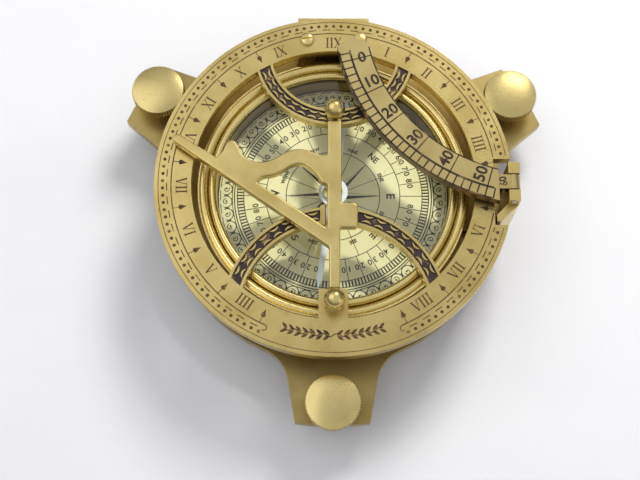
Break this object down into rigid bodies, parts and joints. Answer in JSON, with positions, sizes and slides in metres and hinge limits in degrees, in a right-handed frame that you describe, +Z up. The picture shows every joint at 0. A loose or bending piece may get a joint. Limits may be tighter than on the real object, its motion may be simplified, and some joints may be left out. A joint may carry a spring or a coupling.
{
  "type": "folding sundial compass",
  "caption": "Folding brass sundial compass on a three-legged base with levelling screws, a glazed compass, a tilting hour ring, a folding gnomon and a latitude arc.",
  "frame": {"origin": "middle of the bottom cover's underside, below the middle of the compass", "axes": "+Z up, +Y from the middle towards the ring's hinge at the XII mark, +X towards the latitude arc's hinge"},
  "size_m": [0.1226, 0.1209, 0.0361],
  "materials": {
    "satin_brass": "pale satin brass with fine wear",
    "polished_brass": "turned brass, softly polished",
    "aged_brass": "brass darkened in the recesses",
    "card_brass": "pale lacquered brass with dark printing",
    "clear_glass": "clear flat glass",
    "white_steel": "bright silver-white steel"
  },
  "bodies": {
    "base": {"base_plate": "satin_brass", "bottom_cover": "aged_brass", "cover_screw_1": "polished_brass", "cover_screw_2": "polished_brass", "cover_screw_3": "polished_brass", "bowl_screw_1": "polished_brass", "bowl_screw_2": "polished_brass", "bowl_screw_3": "polished_brass", "hinge_screw_west": "polished_brass", "hinge_screw_east": "polished_brass", "bracket_screw_south": "polished_brass", "bracket_screw_north": "polished_brass", "compass_bowl": "satin_brass", "bezel_ring": "polished_brass", "glass_retainer": "polished_brass", "compass_glass": "clear_glass", "dial_card": "card_brass", "needle_pivot": "white_steel", "base_hinge_block": "satin_brass", "ring_hinge_pin": "white_steel", "arc_bracket": "satin_brass", "arc_hinge_pin": "white_steel"},
    "hour_ring": {"hour_ring": "satin_brass", "ring_screw_west": "polished_brass", "ring_screw_east": "polished_brass", "ring_hinge_leaf": "satin_brass", "upper_crescent": "aged_brass", "lower_crescent_west": "aged_brass", "lower_crescent_east": "aged_brass", "pivot_post_north": "polished_brass", "pivot_post_south": "polished_brass"},
    "gnomon": {"gnomon": "satin_brass"},
    "latitude_arc": {"latitude_arc": "satin_brass"},
    "needle": {"compass_needle": "white_steel", "needle_cap": "polished_brass"},
    "foot_south": {"foot_south": "aged_brass"},
    "foot_east": {"foot_east": "aged_brass"},
    "foot_west": {"foot_west": "aged_brass"},
    "thumbscrew_south": {"thumbscrew_south": "polished_brass"},
    "thumbscrew_east": {"thumbscrew_east": "polished_brass"},
    "thumbscrew_west": {"thumbscrew_west": "polished_brass"}
  },
  "joints": [
    {"name": "ring_tilt", "type": "hinge", "parent": "base", "child": "hour_ring", "pos_m": [0, 0.049, 0.0146], "axis": [-1, 0, 0], "range_deg": [0, 12]},
    {"name": "latitude_arc_raise", "type": "hinge", "parent": "base", "child": "latitude_arc", "pos_m": [0.0496, -0.00175, 0.025], "axis": [0, 1, 0], "range_deg": [0, 90]},
    {"name": "gnomon_fold", "type": "hinge", "parent": "hour_ring", "child": "gnomon", "pos_m": [0.0003, -0.008, 0.025], "axis": [0, 1, 0], "range_deg": [0, 90]},
    {"name": "needle_spin", "type": "hinge", "parent": "base", "child": "needle", "pos_m": [0, 0, 0.013], "axis": [0, 0, 1], "continuous": true},
    {"name": "foot_south_travel", "type": "slide", "parent": "base", "child": "foot_south", "axis": [0, 0, 1], "range_m": [-0.00121, 0.00121]},
    {"name": "foot_east_travel", "type": "slide", "parent": "base", "child": "foot_east", "axis": [0, 0, 1], "range_m": [-0.00121, 0.00121]},
    {"name": "foot_west_travel", "type": "slide", "parent": "base", "child": "foot_west", "axis": [0, 0, 1], "range_m": [-0.00121, 0.00121]},
    {"name": "thumbscrew_south_turn", "type": "hinge", "parent": "foot_south", "child": "thumbscrew_south", "pos_m": [0, -0.0606, 0.01], "axis": [0, 0, 1], "range_deg": [-540, 540]},
    {"name": "thumbscrew_east_turn", "type": "hinge", "parent": "foot_east", "child": "thumbscrew_east", "pos_m": [0.0517, 0.0299, 0.01], "axis": [0, 0, 1], "range_deg": [-540, 540]},
    {"name": "thumbscrew_west_turn", "type": "hinge", "parent": "foot_west", "child": "thumbscrew_west", "pos_m": [-0.0512, 0.0308, 0.01], "axis": [0, 0, 1], "range_deg": [-540, 540]}
  ],
  "couplings": [
    {"joint": "latitude_arc_raise", "follows": "ring_tilt", "ratio": 7.5},
    {"joint": "foot_south_travel", "follows": "thumbscrew_south_turn", "m_per_rad": 0.00012732},
    {"joint": "foot_east_travel", "follows": "thumbscrew_east_turn", "m_per_rad": 0.00012732},
    {"joint": "foot_west_travel", "follows": "thumbscrew_west_turn", "m_per_rad": 0.00012732}
  ]
}
